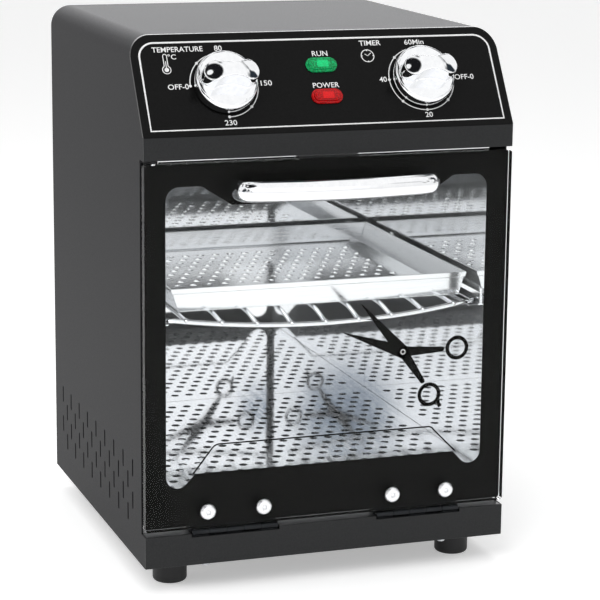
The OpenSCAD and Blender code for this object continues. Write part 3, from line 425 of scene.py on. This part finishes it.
# Control panel
# A 2 mm sloped plate with round upper corners, sprayed gloss black and screen printed in white
# with its outline, the two dials and a few plain words.
panel_gloss = grain(
    finish("gloss_black_lacquered_plate", "#101010", 0.2, Specular_IOR_Level=0.08),
    0.0012, "#0E0E0E", "#131313", (0.15, 0.25), 0.000004)
eased_copy("control_panel", "control_panel_plate", "cabinet", "panel_gloss", panel_gloss, 0.0004, 3)

panel_rise = 0.0528
panel_setback = 0.034
panel_slope = math.atan2(panel_rise, panel_setback)
panel_low_y = -0.105
panel_low_z = 0.2632
panel_place = (
    Matrix.Translation((0, panel_low_y, panel_low_z)) @ Matrix.Rotation(panel_slope, 4, "X"))
ink_height = 0.00006


def flattened(piece, thickness):
    """Squeezes a drawn mesh to a film that lies from zero to its thickness."""
    heights = [v.co.z for v in piece.data.vertices]
    low = min(heights)
    span = max(heights) - low
    for v in piece.data.vertices:
        v.co.z = (v.co.z - low) / span * thickness
    return piece


def film_of(curve, points, closed):
    """The thin film that a curve's settings make of its points."""
    spline = curve.splines.new("POLY")
    spline.points.add(len(points) - 1)
    for knot, place in zip(spline.points, points):
        knot.co = (place[0], place[1], 0, 1)
    spline.use_cyclic_u = closed
    piece = bpy.data.objects.new("ink", curve)
    bpy.context.scene.collection.objects.link(piece)
    use_only(piece)
    bpy.ops.object.convert(target="MESH")
    return flattened(bpy.context.object, ink_height)


def ink_line(points, width, closed=False):
    """A printed line through points, in a plane, as a thin film."""
    curve = bpy.data.curves.new("ink", "CURVE")
    curve.dimensions = "3D"
    curve.bevel_depth = width / 2
    curve.bevel_resolution = 1
    curve.use_fill_caps = True
    return film_of(curve, points, closed)


def ink_shape(points):
    """A printed shape filled inside its outline, as a thin film."""
    curve = bpy.data.curves.new("ink", "CURVE")
    curve.dimensions = "2D"
    curve.fill_mode = "BOTH"
    curve.extrude = 1
    return film_of(curve, points, True)


letter_height = 0.0032
letter_weight = 0.008


def ink_words(words, centre, width):
    """Printed capitals or figures fitted to a width and the letters' height, as a thin film."""
    bpy.ops.object.select_all(action="DESELECT")
    bpy.ops.object.text_add()
    piece = bpy.context.object
    piece.data.body = words
    piece.data.offset = letter_weight
    piece.data.extrude = 1
    piece.data.resolution_u = 4
    bpy.ops.object.convert(target="MESH")
    piece = bpy.context.object
    lows = [min(v.co[i] for v in piece.data.vertices) for i in (0, 1)]
    highs = [max(v.co[i] for v in piece.data.vertices) for i in (0, 1)]
    for v in piece.data.vertices:
        v.co.x = centre[0] + ((v.co.x - lows[0]) / (highs[0] - lows[0]) - 0.5) * width
        v.co.y = centre[1] + ((v.co.y - lows[1]) / (highs[1] - lows[1]) - 0.5) * letter_height
    return flattened(piece, ink_height)


def arc(centre, radius, start, end, steps=48):
    """Points along an arc, from one angle to another in degrees."""
    angles = [math.radians(start + (end - start) * i / steps) for i in range(steps + 1)]
    return [(centre[0] + radius * math.cos(a), centre[1] + radius * math.sin(a)) for a in angles]


def joined(pieces, name, place):
    """Joins pieces into one with a name of its own, then puts it where it belongs."""
    bpy.ops.object.select_all(action="DESELECT")
    for piece in pieces:
        piece.select_set(True)
    bpy.context.view_layer.objects.active = pieces[0]
    bpy.ops.object.join()
    whole = bpy.context.object
    whole.name = name
    whole.data.transform(place)
    return whole


# Every value of the print is in metres on the panel: across from the middle, and up the slope.
# Each word or figure has its centre and its width.
print_words = (
    ("TEMPERATURE", (-0.0826, 0.0533), 0.0294), ("°C", (-0.0864, 0.0488), 0.0047),
    ("TIMER", (0.03185, 0.0541), 0.0131), ("RUN", (0.00045, 0.0483), 0.0093),
    ("POWER", (0.00075, 0.0285), 0.0157), ("OFF-0", (-0.0855, 0.0303), 0.012),
    ("80", (-0.059, 0.0534), 0.0045), ("150", (-0.0343, 0.031), 0.0066),
    ("230", (-0.0588, 0.0075), 0.007), ("60Min", (0.05895, 0.054), 0.0119),
    ("OFF-0", (0.0856, 0.031), 0.0118), ("20", (0.0594, 0.008), 0.0045),
    ("40", (0.0357, 0.0309), 0.0045))
print_half = 0.105
print_low = 0.004
print_high = 0.0576
print_corner = 0.009
dial_left = (-0.059, 0.0306)
dial_right = (0.059, 0.0306)
dial_radius = 0.01955
dial_line = 0.0006
mark_radius = 0.00085
outline_width = 0.0011
outline = [(-print_half, print_low)]
outline += arc((-print_half + print_corner, print_high - print_corner), print_corner, 180, 90, 12)
outline += arc((print_half - print_corner, print_high - print_corner), print_corner, 90, 0, 12)
outline += [(print_half, print_low)]
films = [ink_words(*entry) for entry in print_words]
films.append(ink_line(outline, outline_width, True))
films.append(ink_line(arc(dial_left, dial_radius, 180, -90), dial_line))
films.append(ink_line(arc(dial_right, dial_radius, 90, 360), dial_line))
for dial, angles in ((dial_left, (180, 135, -45, -90)), (dial_right, (90, 135, 180, 225, 270, 315))):
    for angle in angles:
        spot = arc(dial, dial_radius, angle, angle, 1)[0]
        films.append(ink_shape(arc(spot, mark_radius, 0, 345, 23)))
# A thermometer sign: a bulb and its tube in outline, with a full column
sign_line = 0.0005
bulb = (-0.0905, 0.0409)
bulb_radius = 0.0024
tube_half = 0.0011
tube_foot = 0.0431
tube_head = 0.0494
column_radius = 0.0013
column_head = 0.0462
films.append(ink_line(arc(bulb, bulb_radius, 118, 422, 30), sign_line))
tube = [(bulb[0] + tube_half, tube_foot)]
tube += arc((bulb[0], tube_head), tube_half, 0, 180, 10)
tube += [(bulb[0] - tube_half, tube_foot)]
films.append(ink_line(tube, sign_line))
films.append(ink_shape(arc(bulb, column_radius, 0, 345, 23)))
films.append(ink_line([bulb, (bulb[0], column_head)], sign_line))
# A plain clock sign: its rim, two hands and four ticks
clock = (0.0291, 0.046)
clock_radius = 0.0038
tick_ends = (0.003, 0.0036)
films.append(ink_line(arc(clock, clock_radius, 0, 350, 35), 0.00055, True))
films.append(ink_line([(0.0275, 0.0472), clock, (0.0313, 0.0478)], 0.00045))
for angle in (0, 90, 180, 270):
    films.append(ink_line([arc(clock, end, angle, angle, 1)[0] for end in tick_ends], sign_line))
# White screen ink: matt, opaque, with a slightly uneven film
white_ink = grain(
    finish("white_screen_ink", "#EFEFEF", 0.5), 0.0008, "#EAEAEA", "#F4F4F4", (0.42, 0.56), 0.000008)
panel_print = joined(films, "panel_printing", panel_place)
hand_over(panel_print, "cabinet", "panel_gloss", white_ink)


# Lamps
# Each lamp is a moulded translucent lens, oval, with a stepped rim and a raised facet that shows the
# lit bulb as a brighter band, pressed into a white moulded body behind the panel.
lens_half_length = 0.00925
lens_half_height = 0.0045
# The steps of the lens: how far each ring rises and how far the next is drawn in
lens_steps = ((0.001, 0.0004), (0.0004, 0.0008), (-0.0006, 0.0002), (0.0011, 0.0009), (0.0003, 0))
band_size = (0.0068, 0.0042, 0.0005)
band_place = (0.0004, 0, 0.00205)


def lit_band(name, up):
    """The window over the lit bulb: a low bevelled pad on the lens."""
    bpy.ops.object.select_all(action="DESELECT")
    bpy.ops.mesh.primitive_cube_add(size=1, location=(0, 0, 0))
    pad = bpy.context.object
    pad.name = name
    for v in pad.data.vertices:
        v.co = [v.co[i] * band_size[i] + band_place[i] for i in (0, 1, 2)]
    apply_modifier(pad, "BEVEL", width=0.0002, segments=2)
    bpy.ops.object.shade_smooth_by_angle(angle=math.radians(40))
    pad.data.transform(panel_place @ Matrix.Translation((0, up, 0)))
    return pad


def lamp_lens(name, node, slot, up, rim_colour, dark, light, lit, glow):
    """A stepped oval lens and the bright band in it, set on the panel."""
    bpy.ops.object.select_all(action="DESELECT")
    bpy.ops.mesh.primitive_circle_add(
        vertices=48, radius=lens_half_height, fill_type="NGON", location=(0, 0, 0))
    lens = bpy.context.object
    lens.name = name
    for v in lens.data.vertices:
        if abs(v.co.x) > 0.00001:
            v.co.x += math.copysign(lens_half_length - lens_half_height, v.co.x)
    bpy.ops.object.mode_set(mode="EDIT")
    bpy.ops.mesh.select_all(action="SELECT")
    for rise, drawn_in in lens_steps:
        bpy.ops.mesh.extrude_region_move(TRANSFORM_OT_translate={"value": (0, 0, rise)})
        if drawn_in > 0:
            bpy.ops.mesh.inset(thickness=drawn_in)
    bpy.ops.mesh.select_all(action="SELECT")
    bpy.ops.mesh.normals_make_consistent(inside=False)
    bpy.ops.object.mode_set(mode="OBJECT")
    apply_modifier(
        lens, "BEVEL", width=0.00018, segments=2, limit_method="ANGLE", angle_limit=math.radians(30))
    bpy.ops.object.shade_smooth_by_angle(angle=math.radians(32))
    lens.data.transform(panel_place @ Matrix.Translation((0, up, 0)))
    lens_plastic = grain(
        finish(
            slot + "_moulded_acrylic", rim_colour, 0.12, Specular_IOR_Level=0.2, Coat_Weight=0.15,
            Subsurface_Weight=0.3, Subsurface_Scale=0.002, Emission_Color=linear(light),
            Emission_Strength=glow),
        0.0009, dark, light, (0.05, 0.14), 0.00008, kind="CELLS")
    hand_over(lens, "cabinet", slot, lens_plastic, node)
    band = lit_band(name + "_lit_band", up)
    band_plastic = grain(
        finish(
            slot + "_lit_window", light, 0.12, Specular_IOR_Level=0.25, Coat_Weight=0.15,
            Emission_Color=linear(light), Emission_Strength=glow * 2.2),
        0.0007, light, lit, (0.06, 0.14), 0.00005, kind="CELLS")
    hand_over(band, "cabinet", slot, band_plastic)


lamp_lens(
    "run_lens_stepped", "run_lamp_lens", "run_green", 0.041,
    "#046B3E", "#035A32", "#02A55D", "#08C274", 0.18)
lamp_lens(
    "power_lens_stepped", "power_lamp_lens", "power_red", 0.0214,
    "#A0060A", "#820407", "#BC0307", "#D00A0E", 0.1)
lamp_case = grain(
    finish("moulded_white_nylon", "#DEDEDA", 0.5),
    0.002, "#D8D8D4", "#E5E5E1", (0.42, 0.58), 0.00003)
coat_nodes(lamp_case, "run_lamp_body", "power_lamp_body")


# Knobs and their shafts
# Die-cast zinc knobs, polished and bright chromed: a round base with a rolled rim and a wing grip
# with two round ends, flowing into the base. Each sits on a ground steel shaft.
# Above the base's top, the wing stands half as high again as in the CAD solid.
disc_top = 0.0086
wing_rise = 1.5
casting_voxel = 0.00035
polish_rounds = 5
faces_kept = 0.35


def cast_copy(node, name, body, slot, material):
    """A CAD knob as a casting: its edges and inner corners flow, and its surface is one skin."""
    piece = merged_copy(node, name)
    piece.data.transform(panel_place.inverted())
    for v in piece.data.vertices:
        if v.co.z > disc_top:
            v.co.z = disc_top + (v.co.z - disc_top) * wing_rise
    piece.data.transform(panel_place)
    apply_modifier(piece, "REMESH", mode="VOXEL", voxel_size=casting_voxel, adaptivity=0)
    apply_modifier(piece, "SMOOTH", factor=0.5, iterations=polish_rounds)
    apply_modifier(piece, "DECIMATE", ratio=faces_kept)
    bpy.ops.object.shade_smooth()
    return hand_over(piece, body, slot, material, node)


# Bright chrome over polished zinc: a near-perfect mirror with a trace of blue
bright_chrome = grain(
    finish("bright_chrome_plate", "#F3F4F5", 0.05, 1.0),
    0.003, "#F0F1F3", "#F7F8F9", (0.035, 0.075), 0.000002)
for control in ("temperature", "timer"):
    cast_copy(
        control + "_knob", control + "_knob_casting", control + "_control", "knob_chrome",
        bright_chrome)
ground_steel = grain(
    finish("ground_steel_rod", "#CACBCD", 0.2, 1.0),
    0.0006, "#BFC0C3", "#D5D6D8", (0.14, 0.28), 0.000004, (8, 1, 1))
coat_nodes(ground_steel, "thermostat_shaft", "timer_shaft", "hinge_pin_left", "hinge_pin_right")


# Hinges
# Two steel butt hinges carry the door. Their leaves are pressed sheet rolled into knuckles round a
# steel pin, one leaf screwed behind the base strip and one behind the glass. The leaves are coloured
# near
# black: this is painted shade for the dark gap between the glass and the base strip where they sit.
# Near-black steel with a fine lengthwise brushing: the dark colour is painted shade for the hinges'
# gap
gap_shade_hinge_steel = grain(
    finish("near_black_steel_strip_painted_gap_shade", "#2A2B2D", 0.4, 1.0),
    0.0008, "#232426", "#343638", (0.32, 0.48), 0.00001, (14, 1, 1))
for side in ("left", "right"):
    for leaf, body in (("hinge_base_leaf_", "cabinet"), ("hinge_door_leaf_", "door")):
        eased_copy(
            leaf + side, leaf + "pressed_" + side, body, "hinge_steel", gap_shade_hinge_steel, 0.00015, 1)


# Door pane and its print
# The door is one pane of 5 mm float glass with ground edges. Its border, the trim line at the foot of
# the window and a plain sign of a pair of shears are fired black on its back. Its index is set low,
# because the pane mirrors little of the white room in the photograph.
door_glass = bpy.data.materials.new("clear_float_glass")
door_glass.use_nodes = True
glass_shader = door_glass.node_tree.nodes["Principled BSDF"]
glass_output = door_glass.node_tree.nodes["Material Output"]
glass_shader.inputs["Base Color"].default_value = linear("#FCFDFD")
glass_shader.inputs["Transmission Weight"].default_value = 1.0
glass_shader.inputs["Roughness"].default_value = 0.0
glass_shader.inputs["IOR"].default_value = 1.1
glass_ray = add_node(door_glass, "ShaderNodeLightPath")
glass_clear = add_node(door_glass, "ShaderNodeBsdfTransparent", {"Color": linear("#F8FAFA")})
glass_mix = add_node(
    door_glass, "ShaderNodeMixShader", None,
    {"Fac": glass_ray.outputs["Is Shadow Ray"], 1: glass_shader.outputs["BSDF"],
     2: glass_clear.outputs["BSDF"]})
door_glass.node_tree.links.new(glass_mix.outputs["Shader"], glass_output.inputs["Surface"])
eased_copy("door_glass", "door_glass_pane", "door", "door_glass", door_glass, 0)

# Fired enamel: deep black with no gloss of its own, because it is bonded to the glass in front
fired_black = grain(
    finish("fired_black_enamel", "#0D0D0C", 0.5, Specular_IOR_Level=0.04),
    0.0015, "#0B0B0A", "#10100F", (0.4, 0.6), 0.000002)
mask_gap = 0.00003
mask_film = merged_copy("door_mask", "door_border_enamel")
mask_film.data.transform(Matrix.Translation((0, mask_gap, 0)))
hand_over(mask_film, "door", "door_print", fired_black, "door_mask")

# The print is drawn in metres: across from the middle, and up from the bench
door_back = -0.1
print_behind = 0.00008
pivot_ahead = 0.00001
upright = Matrix.Rotation(math.radians(90), 4, "X")
print_place = Matrix.Translation((0, door_back + print_behind, 0)) @ upright
pivot_place = Matrix.Translation((0, door_back - pivot_ahead, 0)) @ upright
trim_line = ink_line(
    [(-0.0806, 0.0689), (-0.0693, 0.0832), (-0.0677, 0.0847), (-0.0655, 0.0854),
     (0.0637, 0.0852), (0.0655, 0.0845), (0.0669, 0.0828), (0.0806, 0.0690)], 0.0009)


def tapered(start, end, start_width, end_width):
    """The outline of a straight tapered bar with round ends."""
    run = Vector(end) - Vector(start)
    turn = math.degrees(math.atan2(run.y, run.x))
    points = arc(start, start_width / 2, turn + 90, turn + 270, 6)
    return points + arc(end, end_width / 2, turn - 90, turn + 90, 6)


shears_pivot = (0.0463, 0.1316)
blade_widths = (0.0078, 0.0006)
shank_widths = (0.0062, 0.003)
finger_ring_radius = 0.0061
finger_ring_width = 0.0023
shears_films = [trim_line]
# Each half: the blade's tip, the shank's end, the middle of the finger ring
for tip, shank, ring in (
        ((0.0205, 0.1612), (0.0588, 0.1132), (0.0632, 0.1048)),
        ((0.0098, 0.1452), (0.0708, 0.1316), (0.0802, 0.1318))):
    shears_films.append(ink_shape(tapered(shears_pivot, tip, *blade_widths)))
    shears_films.append(ink_shape(tapered(shears_pivot, shank, *shank_widths)))
    shears_films.append(
        ink_line(arc(ring, finger_ring_radius, 0, 350, 35), finger_ring_width, True))
shears_films.append(ink_line([(0.0684, 0.1012), (0.0702, 0.0968)], 0.0022))
door_print = joined(shears_films, "door_printing", print_place)
hand_over(door_print, "door", "door_print", fired_black)
# The shears' screw is a thin pale ring, printed just in front of the black
pivot_ring = joined(
    [ink_line(arc(shears_pivot, 0.0013, 0, 350, 35), 0.0005, True)], "door_printing_pivot",
    pivot_place)
hand_over(pivot_ring, "door", "door_print", white_ink)


# Handle
# A bow handle in die-cast zinc, polished and chromed like the knobs, with round shoulders. Two screws
# hold it through the glass, and the strike plate for the magnet is fixed behind.
def round_bar(name, route, radius, round_steps, along_steps):
    """A round bar swept smoothly along a route, from its first point to its last."""
    curve = bpy.data.curves.new(name, "CURVE")
    curve.dimensions = "3D"
    curve.bevel_depth = radius
    curve.bevel_resolution = round_steps
    curve.use_fill_caps = True
    spline = curve.splines.new("NURBS")
    spline.points.add(len(route) - 1)
    for knot, place in zip(spline.points, route):
        knot.co = (*place, 1)
    spline.order_u = 3
    spline.resolution_u = along_steps
    spline.use_endpoint_u = True
    bar = bpy.data.objects.new(name, curve)
    bpy.context.scene.collection.objects.link(bar)
    use_only(bar)
    bpy.ops.object.convert(target="MESH")
    return bpy.context.object


handle_level = 0.2333
handle_half_depth = 0.004
# The bar is half as high again as it is deep
handle_stretch = 1.5
handle_half = [
    (0.0575, -0.105, 0), (0.0575, -0.111, 0), (0.0562, -0.1172, 0), (0.051, -0.1199, 0),
    (0.04, -0.1216, 0), (0.02, -0.1242, 0)]
handle_path = [(-x, y, z) for x, y, z in handle_half] + [(0, -0.125, 0)] + handle_half[::-1]
handle = round_bar("door_handle_casting", handle_path, handle_half_depth, 10, 10)
handle.data.transform(
    Matrix.Translation((0, 0, handle_level)) @ Matrix.Diagonal((1, 1, handle_stretch, 1)))
bpy.ops.object.shade_smooth_by_angle(angle=math.radians(50))
hand_over(handle, "door", "handle_chrome", bright_chrome, "door_handle")
coat_nodes(zinc_plate, "handle_screws", "hinge_nuts", "strike_plate")


# Door screws
# Four domed screws in bright chrome hold the hinge leaves through the glass. Each head is turned,
# with a low rim and a small round dimple in its crown.
screw_level = 0.0471
screw_places = (-0.07305, -0.03955, 0.03955, 0.07305)
# Half the outline of a head and its shank: distance from the axis, depth behind the glass's front
screw_profile = (
    (0.0, -0.0008), (0.0009, -0.0009), (0.0012, -0.0017), (0.0015, -0.002), (0.0032, -0.0019),
    (0.004, -0.0015), (0.0045, -0.0009), (0.0047, -0.0004), (0.00475, 0.0), (0.0015, 0.0),
    (0.0015, 0.0083), (0.0, 0.0083))
door_front = -0.105
profile_edges = [(i, i + 1) for i in range(len(screw_profile) - 1)]
heads = []
for x in screw_places:
    head_mesh = bpy.data.meshes.new("screw_head")
    head_mesh.from_pydata([(r, 0, -d) for r, d in screw_profile], profile_edges, [])
    head = bpy.data.objects.new("screw_head", head_mesh)
    bpy.context.scene.collection.objects.link(head)
    use_only(head)
    apply_modifier(head, "SCREW", steps=40, render_steps=40, use_normal_calculate=True)
    head.data.transform(Matrix.Translation((x, door_front, screw_level)) @ upright)
    heads.append(head)
door_heads = joined(heads, "door_screw_heads", Matrix.Identity(4))
bpy.ops.object.mode_set(mode="EDIT")
bpy.ops.mesh.select_all(action="SELECT")
bpy.ops.mesh.remove_doubles(threshold=merge_distance)
bpy.ops.mesh.normals_make_consistent(inside=False)
bpy.ops.object.mode_set(mode="OBJECT")
bpy.ops.object.shade_smooth_by_angle(angle=math.radians(50))
screw_chrome = grain(
    finish("turned_chromed_screw", "#F0F1F3", 0.3, 1.0),
    0.002, "#ECEDEF", "#F5F6F7", (0.24, 0.34), 0.000002)
hand_over(door_heads, "door", "screw_chrome", screw_chrome, "door_screws")


# Wire rack
# The rack is chromed round wire: an outer rod bent to shape, a bowed front rod that dips in the
# middle, and nine wires spot-welded across, each with a small bead where it meets the front rod.
rack_chrome = grain(
    finish("bright_chromed_wire", "#EEF0F2", 0.08, 1.0),
    0.002, "#E8EAED", "#F3F4F5", (0.06, 0.12), 0.000002)
for name in ("rack_frame", "rack_front_rod"):
    eased_copy(name, name + "_chromed", "rack", "rack_chrome", rack_chrome, 0, 1, 40)
bow_half = 0.0887
bow_out = 0.0072
bow_drop = 0.0054
bow_rise = math.hypot(bow_out, bow_drop)
bow_radius = (bow_half ** 2 + bow_rise ** 2) / (2 * bow_rise)
rack_front = -0.088
rack_level = 0.1561
rod_radius = 0.0015
wire_radius = 0.00125
wire_pitch = 0.0204
wire_back = 0.098
wire_level = rack_level + rod_radius - wire_radius
bead_radius = 0.0017
# No bead stands higher than this, so that the tray slides out over them all
bead_ceiling = 0.156
wires = []
beads = []
for i in range(-4, 5):
    x = i * wire_pitch
    share = (math.sqrt(bow_radius ** 2 - x ** 2) - bow_radius + bow_rise) / bow_rise
    end_y = rack_front - bow_out * share
    end_z = rack_level - bow_drop * share + 0.0005
    route = (
        (x, wire_back, wire_level), (x, 0.04, wire_level), (x, -0.01, wire_level),
        (x, end_y + 0.022, wire_level), (x, end_y + 0.012, (wire_level * 2 + end_z) / 3),
        (x, end_y, end_z))
    wires.append(round_bar("wire", route, wire_radius, 3, 4))
    bpy.ops.object.select_all(action="DESELECT")
    bpy.ops.mesh.primitive_uv_sphere_add(
        segments=16, ring_count=8, radius=bead_radius, location=(0, 0, 0))
    bead = bpy.context.object
    bead.data.transform(Matrix.Diagonal((1.0, 1.15, 0.9, 1)))
    bead.data.transform(Matrix.Translation((x, end_y, min(end_z + 0.0006, bead_ceiling))))
    bpy.ops.object.shade_smooth()
    beads.append(bead)
weld_beads = joined(beads, "rack_weld_beads", Matrix.Identity(4))
hand_over(weld_beads, "rack", "rack_chrome", rack_chrome)
rack_wires = joined(wires, "rack_wires_chromed", Matrix.Identity(4))
bpy.ops.object.shade_smooth_by_angle(angle=math.radians(60))
hand_over(rack_wires, "rack", "rack_chrome", rack_chrome, "rack_wires")


# Tray
# The instrument tray is bright stainless sheet: a folded frame with leaning walls and a hemmed rim,
# and a perforated sheet that lies on its ledge.
tray_steel = grain(
    finish("bright_folded_stainless_sheet", "#F2F3F5", 0.12, 0.8),
    0.0012, "#EDEFF1", "#F7F8F9", (0.08, 0.17), 0.000003, (25, 1, 1))
eased_copy("tray_frame", "tray_frame_folded", "tray", "tray_steel", tray_steel, 0.0003)
coat_nodes(tray_steel, "tray_base")
